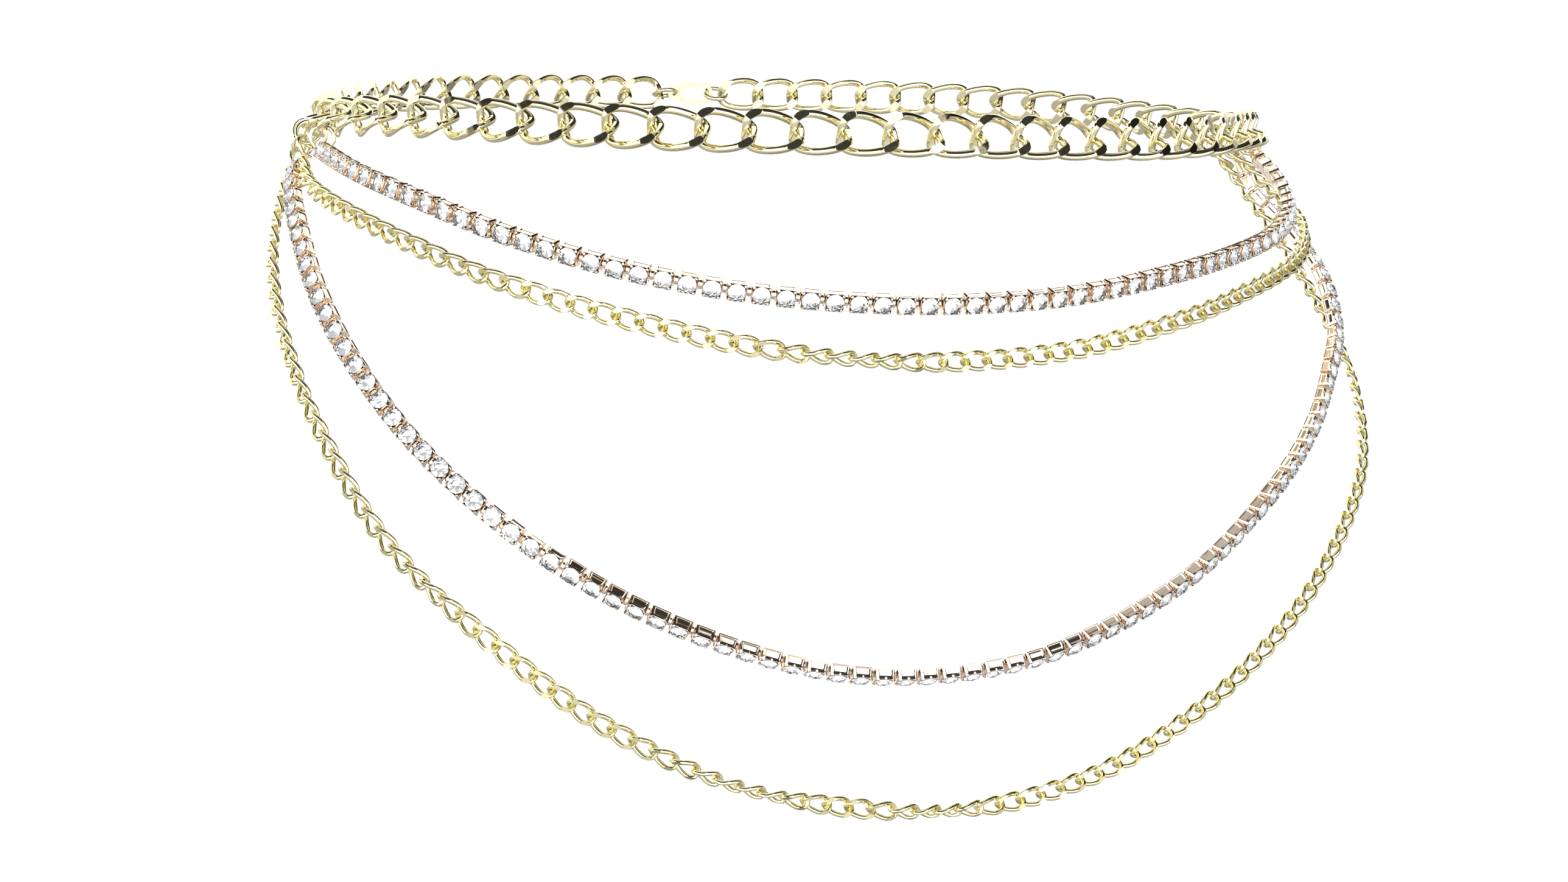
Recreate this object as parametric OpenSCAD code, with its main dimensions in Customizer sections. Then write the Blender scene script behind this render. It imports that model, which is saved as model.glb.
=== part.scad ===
// Draped waist chain: one big curb chain round the waist, with two stone chains
// and two small curb chains hung in swags from its two sides.
// Millimetres. +Z is up, -Y is the front, and the origin is the middle of the waist loop.

/* [Waist form] */
// Width of the waist loop, to the middle of the chain
waist_w = 228; // [190:1:300]
// Depth of the waist loop from front to back, to the middle of the chain
waist_d = 196; // [160:1:260]
// Width that the swags follow at the hips
hip_w = 377; // [300:1:440]
// Depth that the swags follow at the hips
hip_d = 205; // [180:1:280]
// Height of the waist above the hips
hip_drop = 150; // [120:1:220]

/* [Big curb chain] */
// Wire thickness of a big link
link_wire = 1.6; // [1.2:0.1:1.9]
// Width over a big link
link_w = 9.4; // [8.4:0.1:11]
// Distance from one big link to the next, fitted to a whole number
link_pitch = 9.8; // [9:0.1:12]
// Turn of each end of a link out of its own plane, in degrees
link_twist = 44; // [36:1:50]

/* [Stone chains] */
// Diameter of a stone
stone_d = 3.9; // [3:0.1:4]
// Width over a square cup
cup_w = 4.3; // [4.2:0.1:5]
// Depth of a cup from its back to the table of its stone
cup_h = 2.4; // [2.2:0.1:3]
// Wall of a cup
cup_wall = 0.3; // [0.25:0.05:0.4]
// Distance from one cup to the next, fitted to a whole number
cup_pitch = 5.1; // [4.9:0.1:6.5]
// Width of the tongue that holds the next cup
tongue_w = 1.2; // [0.8:0.1:1.4]
// Thickness of that tongue
tongue_t = 0.35; // [0.25:0.05:0.45]
// Diameter that a stone chain takes up in a tube
stone_chain_d = 4.4; // [4:0.1:5]

/* [Small curb chains] */
// Diameter that a small curb chain takes up in a tube
curb_chain_d = 4.4; // [3.6:0.1:4.6]

/* [Rings and clasp] */
// Outer diameter of a jump ring that holds a swag
ring_d = 6.2; // [5.8:0.1:7]
// Wire of such a ring
ring_wire = 0.9; // [0.7:0.1:1]
// Distance between two rings that share one big link
ring_spacing = 4.8; // [4.6:0.1:5]
// Outer diameter of the eye at the end of a stone chain
eye_d = 3.2; // [3:0.1:3.5]
// Wire of that eye
eye_wire = 0.6; // [0.5:0.1:0.7]
// Angle round the waist from the front to where the swags hang
hang_angle = 87; // [70:1:110]
// Outer diameter of the two rings beside the clasp
clasp_ring_d = 7.4; // [7:0.1:8.4]
// Wire of those rings
clasp_ring_wire = 1.2; // [0.9:0.1:1.3]
// Length of the clasp
clasp_l = 13; // [11:0.5:18]
// Width of the clasp
clasp_w = 6; // [5:0.1:8]
// Thickness of the clasp
clasp_t = 1.2; // [0.9:0.1:1.4]
// Wall of the clasp round its two holes
clasp_wall = 1.1; // [0.8:0.1:1.2]

/* [Fit] */
// Clear space between pieces that hook together
gap = 0.25; // [0.2:0.01:0.3]
// Clear space between a stone and its cup
stone_gap = 0.2; // [0.15:0.01:0.25]

/* [Hidden] */

// Chosen points of each route: angle round the body from the front, height, distance out from
// the form, and for the stones how far their faces turn down. The swags run from ring to ring.
waist_route = [[-180, 0, 0], [-135, 0, 0], [-92, -2.5, 0], [-62, 0, 0], [-30, 0.5, 0],
               [0, 0.5, 0], [30, -0.5, 0], [60, 0, 0], [92, -2.5, 0], [135, 0, 0]];
upper_stone_route = [[-68, -12.5, 0, 5], [-55, -17, 0, 15], [-42, -23, 0, 20],
                     [-28, -29, 0, 20], [-14, -33, 0, 20], [0, -34.5, 0, 20], [14, -33.5, 0, 20],
                     [28, -30, 0, 15], [40, -27, 0, 10], [50, -24, 1.5, 5], [60, -20, 2.5, 0],
                     [71, -14.2, 2.6, 0]];
upper_curb_route = [[-85, -12.5, 0], [-79.5, -16, 0], [-70, -19.5, 0], [-56, -25, 0], [-42, -32, 0],
                    [-28, -38.5, 0], [-14, -44, 0], [0, -46.5, 0], [14, -45, 0], [28, -40, 0],
                    [40, -35.5, 0], [52, -31.5, 1.5], [62, -28, 3], [71, -24, 4], [78.5, -20, 3],
                    [84, -14.5, 2]];
lower_stone_route = [[-88.5, -14, 0], [-83, -19.5, 0], [-74, -27.5, 0], [-65, -38.5, 0], [-55, -52, 0],
                     [-44, -68, 0], [-32, -85.5, 0], [-20, -101, 0], [-8, -112, 0], [2, -114.5, 0],
                     [12, -110.5, 0], [24, -98.5, 0], [36, -83, 0], [47, -69.5, 0.5],
                     [57, -57.5, 1.5], [66, -49, 3.5], [74, -37, 5], [82.5, -26.5, 4], [87.5, -17, 1.5]];
lowest_curb_route = [[-92.5, -14, 0], [-86.5, -22.5, 0], [-77, -35.5, 0], [-66, -50.5, 0], [-55, -68, 0],
                     [-44, -88, 0], [-33, -106, 0], [-22, -124.5, 0], [-11, -138.5, 0], [2, -145, 0],
                     [13, -140.5, 0.5], [24, -128, 0], [35, -112.5, 0], [46, -97, 0], [57, -83, 1],
                     [67, -70.5, 2], [76, -58, 3.5], [84.5, -38, 3.5], [91, -18, 2]];

// Steps of a curve from one chosen point to the next
curve_steps = 10;
// Points round a link and round its wire, and sides of a tube and of a stone
link_points = 12;
wire_sides = 6;
tube_sides = 8;
stone_sides = 8;
// A smaller number makes the ends of a link squarer
link_roundness = 0.75;
// A tube has a ring of points every so many diameters
tube_step = 2.5;
// Height of a stone's girdle above the middle of its cup, as a share of the cup's depth
girdle_share = 0.2;
// How far a cut reaches past the face that it opens
cut_past = 0.5;

// Smooth numbers for the exact round pieces
$fn = 48;

function unit(v) = v / norm(v);
function place(p) = [p[0], p[1], p[2]];

// The form that the chains lie on: oval sections that widen from the waist to the hips
function hip_share(z) = max(-0.3, min(1.2, -z / hip_drop));
function half_w(z) = (waist_w + (hip_w - waist_w) * hip_share(z)) / 2;
function half_d(z) = (waist_d + (hip_d - waist_d) * (1 - pow(1 - hip_share(z), 2))) / 2;
function on_form(p) = [(half_w(p[1]) + p[2]) * sin(p[0]), -(half_d(p[1]) + p[2]) * cos(p[0]), p[1]];
function oval_level(p, z) = pow(p[0] / half_w(z), 2) + pow(p[1] / half_d(z), 2);
function outward(p) = unit([2 * p[0] / pow(half_w(p[2]), 2), 2 * p[1] / pow(half_d(p[2]), 2),
                            oval_level(p, p[2] + 0.5) - oval_level(p, p[2] - 0.5)]);

// A smooth curve through the chosen points, open or closed
function between(a, b, c, d, u) =
    (2 * b + (c - a) * u + (2 * a - 5 * b + 4 * c - d) * u * u + (3 * b - a - 3 * c + d) * u * u * u) / 2;
function open_curve(p) =
    let (n = len(p), q = concat([2 * p[0] - p[1]], p, [2 * p[n - 1] - p[n - 2]]))
    concat([for (i = [0:n - 2], k = [0:curve_steps - 1])
                between(q[i], q[i + 1], q[i + 2], q[i + 3], k / curve_steps)], [p[n - 1]]);
function closed_curve(p) =
    let (n = len(p))
    concat([for (i = [0:n - 1], k = [0:curve_steps - 1])
                between(p[(i + n - 1) % n], p[i], p[(i + 1) % n], p[(i + 2) % n], k / curve_steps)],
           [p[0]]);

// A curve measured along its length: one table for each coordinate and the roll, then its length
function lengths(c) =
    [for (i = 0, s = 0; i < len(c);
          i = i + 1, s = s + (i < len(c) ? norm(place(c[i]) - place(c[i - 1])) : 0)) s];
function measured(c) =
    let (s = lengths(c))
    concat([for (k = [0:3]) [for (i = [0:len(c) - 1]) [s[i], len(c[i]) > k ? c[i][k] : 0]]],
           [s[len(s) - 1]]);
function line_l(line) = line[4];
function at(line, d) = [for (k = [0:2]) lookup(d, line[k])];

// A frame is a place with the direction along the chain, the direction across it and outward
function frame_between(a, b, roll = 0) =
    let (o = (a + b) / 2, t = unit(b - a), n = outward(o), n0 = unit(n - (n * t) * t),
         u0 = cross(n0, t))
    [o, t, u0 * cos(roll) + n0 * sin(roll), n0 * cos(roll) - u0 * sin(roll)];
function put(f, p) = f[0] + p[0] * f[1] + p[1] * f[2] + p[2] * f[3];
module put_at(f) {
    multmatrix([for (r = [0:2]) [f[1][r], f[2][r], f[3][r], f[0][r]]]) children();
}

// The waist loop starts at the middle of the back, where the clasp is
waist_line = measured(closed_curve([for (p = waist_route) on_form(p)]));
clasp_ring_step = clasp_ring_d - 2 * clasp_ring_wire - gap;
clasp_step = clasp_l - 2 * clasp_wall - 3 * gap;
clasp_run = clasp_step + 2 * clasp_ring_step;
links = round((line_l(waist_line) - clasp_run) / link_pitch);
link_step = (line_l(waist_line) - clasp_run) / links;
function link_joint(i) = at(waist_line, clasp_run / 2 + i * link_step);
link_frames = [for (i = [0:links - 1]) frame_between(link_joint(i), link_joint(i + 1))];

// One big link: an oval of wire whose ends turn opposite ways out of its plane
link_half_l = (link_step + link_wire + gap) / 2;
link_half_w = (link_w - link_wire) / 2;
function bent(x, y) = let (a = -link_twist * x / link_half_l) [x, y * cos(a), y * sin(a)];
function signed_pow(v, e) = sign(v) * pow(abs(v), e);
function link_middle(k) =
    let (a = 360 * k / link_points)
    bent(link_half_l * signed_pow(cos(a), link_roundness), link_half_w * signed_pow(sin(a), link_roundness));
function link_ring(k) =
    let (c = link_middle(k), t = unit(link_middle(k + 1) - link_middle(k - 1)),
         a = -link_twist * c[0] / link_half_l, n = [0, -sin(a), cos(a)],
         e = unit(n - (n * t) * t), s = cross(t, e))
    [for (j = [0:wire_sides - 1]) let (b = 360 * (j + 0.5) / wire_sides)
        c + link_wire / 2 * (cos(b) * e + sin(b) * s)];
link_shape = [for (k = [0:link_points - 1]) each link_ring(k)];
// Triangles of a closed hoop of n rings with m points each, the first point being number f
function hoop_faces(n, m, f) =
    [for (k = [0:n - 1], j = [0:m - 1])
        let (a = f + k * m + j, b = f + k * m + (j + 1) % m,
             c = f + ((k + 1) % n) * m + (j + 1) % m, d = f + ((k + 1) % n) * m + j)
        each [[a, c, b], [a, d, c]]];

module waist_chain() {
    n = len(link_shape);
    color("#e6d9a8")
    polyhedron(points = [for (f = link_frames, p = link_shape) put(f, p)],
               faces = [for (i = [0:links - 1]) each hoop_faces(link_points, wire_sides, i * n)]);
}

// Jump rings go round the lower side of a big link. On each side of the body the swags hang
// from front to back in the order of their length.
function link_at(angle) =
    len([for (i = [1:links - 1]) let (p = link_joint(i)) if (atan2(p[0], -p[1]) < angle) 1]);
left_link = link_at(-hang_angle);
right_link = links - 1 - left_link;
ring_r = (ring_d - ring_wire) / 2;
// Which link beyond the first one, and which end of it, for each swag
swag_links = [1, 0, 0, -1];
swag_ends = [1, -1, 1, -1];
link_lower_half = [for (k = [link_points / 2:link_points]) link_middle(k)];
function side_bar(x) = [for (j = [0:2]) lookup(x, [for (p = link_lower_half) [p[0], p[j]]])];
function ring_frame(side, swag) =
    let (f = link_frames[(side < 0 ? left_link : right_link) - side * swag_links[swag]],
         x = side * swag_ends[swag] * ring_spacing / 2,
         bar = put(f, side_bar(x)), along = unit(put(f, side_bar(x + 0.1)) - put(f, side_bar(x - 0.1))),
         up = unit(f[2] - (f[2] * along) * along),
         drop = ring_r - (link_wire + ring_wire) / 2 - gap)
    [bar - drop * up, up, cross(along, up), along];
function ring_bottom(side, swag) = let (f = ring_frame(side, swag)) f[0] - ring_r * f[1];

module ring(d, wire) {
    rotate_extrude() translate([(d - wire) / 2, 0]) circle(d = wire, $fn = 16);
}
module left_jump_rings() {
    color("#dccb92") for (swag = [0:3]) put_at(ring_frame(-1, swag)) ring(ring_d, ring_wire);
}
module right_jump_rings() {
    color("#dccb92") for (swag = [0:3]) put_at(ring_frame(1, swag)) ring(ring_d, ring_wire);
}

// The clasp is one plain piece: a long hoop with a small eye, between two rings
function back_frame(from, step, roll = 0) =
    frame_between(at(waist_line, (line_l(waist_line) + from) % line_l(waist_line)),
                  at(waist_line, (line_l(waist_line) + from + step) % line_l(waist_line)), roll);
// Each ring leans half way from the flat clasp to the turned end of its link
clasp_ring_roll = 90 - link_twist / 2;

clasp_eye_d = 2 * (clasp_wall + clasp_ring_wire / 2 + 2 * gap);
module long_disc(x0, x1, d, t) {
    hull_l = x1 - x0 - d;
    for (x = [x0 + d / 2, x1 - d / 2]) translate([x, 0, 0]) cylinder(d = d, h = t, center = true);
    translate([(x0 + x1) / 2, 0, 0]) cube([hull_l, d, t], center = true);
}
module clasp() {
    hoop_end = clasp_l / 2 - clasp_eye_d + clasp_wall;
    color("#dccb92") put_at(back_frame(-clasp_step / 2, clasp_step)) difference() {
        union() {
            long_disc(-clasp_l / 2, hoop_end, clasp_w, clasp_t);
            translate([(clasp_l - clasp_eye_d) / 2, 0, 0])
                cylinder(d = clasp_eye_d, h = clasp_t, center = true);
        }
        long_disc(-clasp_l / 2 + clasp_wall, hoop_end - clasp_wall, clasp_w - 2 * clasp_wall,
                  clasp_t + 2 * cut_past);
        translate([(clasp_l - clasp_eye_d) / 2, 0, 0])
            cylinder(d = clasp_eye_d - 2 * clasp_wall, h = clasp_t + 2 * cut_past, center = true);
    }
}
module clasp_rings() {
    color("#dccb92") for (side = [-1, 1])
        put_at(back_frame(side < 0 ? -clasp_run / 2 : clasp_step / 2, clasp_ring_step,
                          -side * clasp_ring_roll))
            ring(clasp_ring_d, clasp_ring_wire);
}

// A swag runs on a curve from its left ring to its right one
function swag_line(route, swag) =
    measured(open_curve(concat([concat(ring_bottom(-1, swag), 0)],
                               [for (p = route) concat(on_form(p), len(p) > 3 ? p[3] : 0)],
                               [concat(ring_bottom(1, swag), 0)])));

// Cups of the upper stone chain. The eye of an end cup goes round its jump ring, and the other
// cups hold each other by a tongue with a wide head.
upper_line = swag_line(upper_stone_route, 0);
eye_r = (eye_d - eye_wire) / 2;
eye_back = ring_wire / 2 + eye_wire / 2 + 2 * gap;
end_run = 2 * eye_r - eye_back + eye_wire / 2 + cup_w / 2;
cups = round((line_l(upper_line) - 2 * end_run) / cup_pitch) + 1;
cup_step = (line_l(upper_line) - 2 * end_run) / (cups - 1);
function cup_joint(i) =
    i == 0 ? 0 : i == cups ? line_l(upper_line) : end_run + (i - 0.5) * cup_step;
function cup_frame(i) =
    let (d = cup_joint(i), e = cup_joint(i + 1), a = at(upper_line, d), b = at(upper_line, e),
         f = frame_between(a, b, lookup((d + e) / 2, upper_line[3])))
    [i == 0 ? a + end_run * f[1] : i == cups - 1 ? b - end_run * f[1] : f[0], f[1], f[2], f[3]];
cup_frames = [for (i = [0:cups - 1]) cup_frame(i)];
cup_floor = -cup_h / 2 + cup_wall;
girdle_z = girdle_share * cup_h;
cup_rim = girdle_z - stone_gap;
prong_w = cup_w / 2 - (stone_d / 2 + stone_gap) / sqrt(2);
tongue_z = cup_floor + gap + tongue_t / 2;
head_l = tongue_t;

module cup_tongue() {
    reach = cup_step - cup_w + cup_wall + gap;
    translate([cup_w / 2 - cup_wall / 2, -tongue_w / 2, tongue_z - tongue_t / 2])
        cube([reach + cup_wall / 2 + head_l, tongue_w, tongue_t]);
    translate([cup_w / 2 + reach, -tongue_w, tongue_z - tongue_t / 2])
        cube([head_l, 2 * tongue_w, tongue_t]);
}
module cup_slot() {
    translate([-cup_w / 2 - cut_past, -tongue_w / 2 - gap, cup_floor])
        cube([cut_past + cup_wall * 1.5, tongue_w + 2 * gap, tongue_t + 2 * gap]);
}
module cup_eye(side) {
    translate([side * (cup_w / 2 + eye_r + eye_wire / 2 - cup_wall / 2), 0, tongue_z]) ring(eye_d, eye_wire);
}
module cup(first, last) {
    difference() {
        translate([0, 0, (cup_rim - cup_h / 2) / 2]) cube([cup_w, cup_w, cup_rim + cup_h / 2], center = true);
        translate([0, 0, cup_floor + cup_h / 2])
            cube([cup_w - 2 * cup_wall, cup_w - 2 * cup_wall, cup_h], center = true);
        if (!first) cup_slot();
    }
    for (x = [-1, 1], y = [-1, 1])
        translate([x * (cup_w - prong_w) / 2, y * (cup_w - prong_w) / 2, 0])
            cube([prong_w, prong_w, cup_h - cup_wall], center = true);
    if (first) cup_eye(-1);
    if (last) cup_eye(1); else cup_tongue();
}
module upper_stone_chain_cups() {
    color("#e9c9a4") for (i = [0:cups - 1]) put_at(cup_frames[i]) cup(i == 0, i == cups - 1);
}

// A cut stone: flat table, eight crown facets, a thin girdle and a pointed back
table_share = 0.6;
girdle_t = 0.15;
function stone_ring(r, z) =
    [for (j = [0:stone_sides - 1]) let (a = 360 * j / stone_sides) [r * cos(a), r * sin(a), z]];
stone_shape = concat([[0, 0, cup_floor + stone_gap]], stone_ring(stone_d / 2, girdle_z),
                     stone_ring(stone_d / 2, girdle_z + girdle_t),
                     stone_ring(table_share * stone_d / 2, cup_h / 2), [[0, 0, cup_h / 2]]);
function stone_faces(f) =
    let (m = stone_sides, top = f + 3 * m + 1)
    [for (j = [0:m - 1])
        let (k = (j + 1) % m)
        each concat([[f, f + 1 + j, f + 1 + k], [top, f + 2 * m + 1 + k, f + 2 * m + 1 + j]],
                    [for (r = [0:1], s = [0:1])
                        let (a = f + 1 + r * m + j, b = f + 1 + r * m + k)
                        s == 0 ? [a, b + m, b] : [a, a + m, b + m]])];
module upper_stone_chain_stones() {
    n = len(stone_shape);
    color("#eef3f7")
    polyhedron(points = [for (f = cup_frames, p = stone_shape) put(f, p)],
               faces = [for (i = [0:cups - 1]) each stone_faces(i * n)]);
}

// The three other swags are tubes of the space that their fine links and cups take up
module swag_tube(route, swag, d) {
    line = swag_line(route, swag);
    inset = ring_wire / 2 + 2 * gap;
    rings = ceil((line_l(line) - 2 * inset) / (tube_step * d)) + 1;
    step = (line_l(line) - 2 * inset) / (rings - 1);
    m = tube_sides;
    points = [for (i = [0:rings - 1])
        let (s = inset + i * step, o = at(line, s),
             f = frame_between(at(line, s - inset), at(line, s + inset)))
        for (j = [0:m - 1]) let (a = 360 * (j + 0.5) / m) o + d / 2 * (cos(a) * f[2] + sin(a) * f[3])];
    faces = concat([[for (j = [0:m - 1]) j]], [[for (j = [0:m - 1]) rings * m - 1 - j]],
                   [for (i = [0:rings - 2], j = [0:m - 1])
                       let (a = i * m + j, b = i * m + (j + 1) % m) each [[a, b + m, b], [a, a + m, b + m]]]);
    polyhedron(points = points, faces = faces);
}
module upper_curb_chain() {
    color("#e0d39c") swag_tube(upper_curb_route, 1, curb_chain_d);
}
module lower_stone_chain() {
    color("#e9c9a4") swag_tube(lower_stone_route, 2, stone_chain_d);
}
module lowest_curb_chain() {
    color("#e0d39c") swag_tube(lowest_curb_route, 3, curb_chain_d);
}

waist_chain();
upper_stone_chain_cups();
upper_stone_chain_stones();
upper_curb_chain();
lower_stone_chain();
lowest_curb_chain();
left_jump_rings();
right_jump_rings();
clasp();
clasp_rings();
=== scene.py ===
import math

import bpy
import numpy as np
from mathutils import Matrix


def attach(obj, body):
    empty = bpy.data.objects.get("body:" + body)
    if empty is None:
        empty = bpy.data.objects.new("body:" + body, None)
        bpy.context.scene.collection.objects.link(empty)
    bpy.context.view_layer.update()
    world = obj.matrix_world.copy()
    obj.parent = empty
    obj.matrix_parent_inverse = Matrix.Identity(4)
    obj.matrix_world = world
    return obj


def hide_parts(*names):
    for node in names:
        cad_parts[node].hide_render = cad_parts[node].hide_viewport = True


# Draped waist chain: one big curb chain round the waist, with two stone chains and two small
# curb chains hung in swags from its two sides. Metres and degrees. +Z is up, -Y is the front.

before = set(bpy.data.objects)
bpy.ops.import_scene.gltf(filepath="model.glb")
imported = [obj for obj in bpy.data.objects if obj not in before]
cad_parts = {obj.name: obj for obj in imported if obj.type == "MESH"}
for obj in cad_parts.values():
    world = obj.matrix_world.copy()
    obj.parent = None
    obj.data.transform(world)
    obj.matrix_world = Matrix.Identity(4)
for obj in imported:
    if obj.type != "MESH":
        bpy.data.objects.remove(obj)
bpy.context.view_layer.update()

# Form that the chains lie on
WAIST_W, WAIST_D = 0.228, 0.196
HIP_W, HIP_D = 0.377, 0.205
HIP_DROP = 0.150
HIP_SHARES = (-0.3, 1.2)
CURVE_STEPS = 10

# Big curb chain
LINK_WIRE, LINK_W, LINK_PITCH = 0.0016, 0.0094, 0.0098
LINK_TWIST = 44
LINK_ROUNDNESS = 0.75
PLAIN_LINK_POINTS = 12
GAP = 0.00025

# Rings and clasp
RING_D, RING_WIRE, RING_SPACING = 0.0062, 0.0009, 0.0048
HANG_ANGLE = 87
CLASP_L, CLASP_WALL = 0.013, 0.0011
CLASP_RING_D, CLASP_RING_WIRE = 0.0074, 0.0012
EYE_D, EYE_WIRE = 0.0032, 0.0006

# Stone chains
CUP_W, CUP_PITCH = 0.0043, 0.0051
STONE_D = 0.0039

# Small curb chains
SMALL_WIRE, SMALL_W, SMALL_PITCH = 0.0011, 0.0046, 0.00502
SMALL_TWIST = 48

# Chosen points of each route: angle round the waist from the front, height, distance out from
# the form, and for the upper stones how far their faces turn down.
WAIST_ROUTE = [(-180, 0, 0), (-135, 0, 0), (-92, -0.0025, 0), (-62, 0, 0), (-30, 0.0005, 0),
               (0, 0.0005, 0), (30, -0.0005, 0), (60, 0, 0), (92, -0.0025, 0), (135, 0, 0)]
UPPER_STONE_ROUTE = [(-68, -0.0125, 0, 5), (-55, -0.017, 0, 15), (-42, -0.023, 0, 20),
                     (-28, -0.029, 0, 20), (-14, -0.033, 0, 20), (0, -0.0345, 0, 20),
                     (14, -0.0335, 0, 20), (28, -0.030, 0, 15), (40, -0.027, 0, 10),
                     (50, -0.024, 0.0015, 5), (60, -0.020, 0.0025, 0), (71, -0.0142, 0.0026, 0)]
UPPER_CURB_ROUTE = [(-85, -0.0125, 0), (-79.5, -0.016, 0), (-70, -0.0195, 0), (-56, -0.025, 0),
                    (-42, -0.032, 0), (-28, -0.0385, 0), (-14, -0.044, 0), (0, -0.0465, 0),
                    (14, -0.045, 0), (28, -0.040, 0), (40, -0.0355, 0), (52, -0.0315, 0.0015),
                    (62, -0.028, 0.003), (71, -0.024, 0.004), (78.5, -0.020, 0.003),
                    (84, -0.0145, 0.002)]
LOWER_STONE_ROUTE = [(-88.5, -0.014, 0), (-83, -0.0195, 0), (-74, -0.0275, 0), (-65, -0.0385, 0),
                     (-55, -0.052, 0), (-44, -0.068, 0), (-32, -0.0855, 0), (-20, -0.101, 0),
                     (-8, -0.112, 0), (2, -0.1145, 0), (12, -0.1105, 0), (24, -0.0985, 0),
                     (36, -0.083, 0), (47, -0.0695, 0.0005), (57, -0.0575, 0.0015),
                     (66, -0.049, 0.0035), (74, -0.037, 0.005), (82.5, -0.0265, 0.004),
                     (87.5, -0.017, 0.0015)]
LOWEST_CURB_ROUTE = [(-92.5, -0.014, 0), (-86.5, -0.0225, 0), (-77, -0.0355, 0),
                     (-66, -0.0505, 0), (-55, -0.068, 0), (-44, -0.088, 0), (-33, -0.106, 0),
                     (-22, -0.1245, 0), (-11, -0.1385, 0), (2, -0.145, 0), (13, -0.1405, 0.0005),
                     (24, -0.128, 0), (35, -0.1125, 0), (46, -0.097, 0), (57, -0.083, 0.001),
                     (67, -0.0705, 0.002), (76, -0.058, 0.0035), (84.5, -0.038, 0.0035),
                     (91, -0.018, 0.002)]

# How far each chain rolls about its own length: angle round the waist, roll with the faces down
WAIST_ROLL = [(-180, 0), (-92, 0), (-78, -8), (-50, -10), (-20, -15), (20, -14), (60, -12),
              (80, 0), (180, 0)]
UPPER_CURB_ROLL = [(-90, 0), (-80, 32), (-52, 32), (-45, 6), (-22, 6), (-15, 55), (-8, 65),
                   (-2, 30), (3, 4), (90, 4)]
LOWER_STONE_ROLL = [(-88, 0), (-70, -12), (-60, -20), (-50, -16), (-45, 5), (-40, 24), (-36, 38),
                    (-30, 48), (-24, 54), (-17, 57), (-10, 60), (5, 60), (12, 58), (17, 50),
                    (23, 34), (40, 30), (44, 28), (50, 12), (60, 5), (66, 1), (76, -28),
                    (83, -30), (88, -25)]
LOWEST_CURB_ROLL = [(-90, 15), (-75, 28), (-56, 28), (-52, 50), (-48, 5), (-34, 10), (-24, 60),
                    (-17, 60), (-11, 0), (-6, 0), (0, 60), (5, 60), (11, 0), (30, 0), (90, 0)]


def unit(v):
    """Each vector of v divided by its own length."""
    return v / np.linalg.norm(v, axis=-1, keepdims=True)


def dot(a, b):
    """The scalar product of each pair of vectors, kept as a column."""
    return np.sum(a * b, axis=-1, keepdims=True)


def hip_share(z):
    """How far down to the hips a height is: 0 at the waist and 1 at the hips."""
    return np.clip(-z / HIP_DROP, *HIP_SHARES)


def half_w(z):
    """Half the form's width: it grows evenly from the waist's to the hips'."""
    return (WAIST_W + (HIP_W - WAIST_W) * hip_share(z)) / 2


def half_d(z):
    """Half the form's depth: it grows as 1 - (1 - share) squared."""
    return (WAIST_D + (HIP_D - WAIST_D) * (1 - (1 - hip_share(z)) ** 2)) / 2


def on_form(route):
    """Points of a route on the oval form: x = (half width + out) sin(angle),
    y = -(half depth + out) cos(angle), z = height, and the roll as a fourth number."""
    angle, z, out = (np.array([row[k] for row in route], float) for k in range(3))
    roll = np.array([row[3] if len(row) > 3 else 0 for row in route], float)
    a = np.radians(angle)
    return np.stack([(half_w(z) + out) * np.sin(a), -(half_d(z) + out) * np.cos(a), z, roll], -1)


def oval_level(p, z):
    """1 on the form's oval section at height z, and more outside it."""
    return (p[..., 0] / half_w(z)) ** 2 + (p[..., 1] / half_d(z)) ** 2


def outward(p):
    """The form's outward direction: the slope of oval_level along each axis."""
    x, y, z = p[..., 0], p[..., 1], p[..., 2]
    step = 0.0005
    rise = (oval_level(p, z + step) - oval_level(p, z - step)) / (2 * step)
    return unit(np.stack([2 * x / half_w(z) ** 2, 2 * y / half_d(z) ** 2, rise], -1))


def smooth_curve(points, closed):
    """Catmull-Rom curve: from b to c, with the neighbours a and d, each coordinate is
    (2b + (c - a)u + (2a - 5b + 4c - d)u^2 + (3b - a - 3c + d)u^3) / 2 for u from 0 to 1."""
    if closed:
        a, b, c, d = (np.roll(points, 1 - k, axis=0) for k in range(4))
    else:
        ends = 2 * points[0] - points[1], 2 * points[-1] - points[-2]
        row = np.vstack([ends[0], points, ends[1]])
        a, b, c, d = row[:-3], row[1:-2], row[2:-1], row[3:]
    a, b, c, d = (v[:, None] for v in (a, b, c, d))
    u = (np.arange(CURVE_STEPS) / CURVE_STEPS)[None, :, None]
    spans = (2 * b + (c - a) * u + (2 * a - 5 * b + 4 * c - d) * u ** 2
             + (3 * b - a - 3 * c + d) * u ** 3) / 2
    return np.vstack([spans.reshape(-1, points.shape[1]), points[:1] if closed else points[-1:]])


class Line:
    """A curve measured along its length. Beyond its ends it goes straight on."""

    def __init__(self, curve):
        steps = np.linalg.norm(np.diff(curve[:, :3], axis=0), axis=1)
        self.length = steps.sum()
        beyond = 0.01
        first = curve[0] + (curve[0] - curve[1]) * beyond / steps[0]
        last = curve[-1] + (curve[-1] - curve[-2]) * beyond / steps[-1]
        self.curve = np.vstack([first, curve, last])
        self.run = np.concatenate([[-beyond], [0], np.cumsum(steps), [self.length + beyond]])

    def column(self, d, k):
        """Coordinate k of the curve, or its roll for k = 3, at the lengths d."""
        return np.interp(d, self.run, self.curve[:, k])

    def at(self, d):
        """Points of the curve at the lengths d."""
        return np.stack([self.column(d, k) for k in range(3)], -1)


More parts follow.
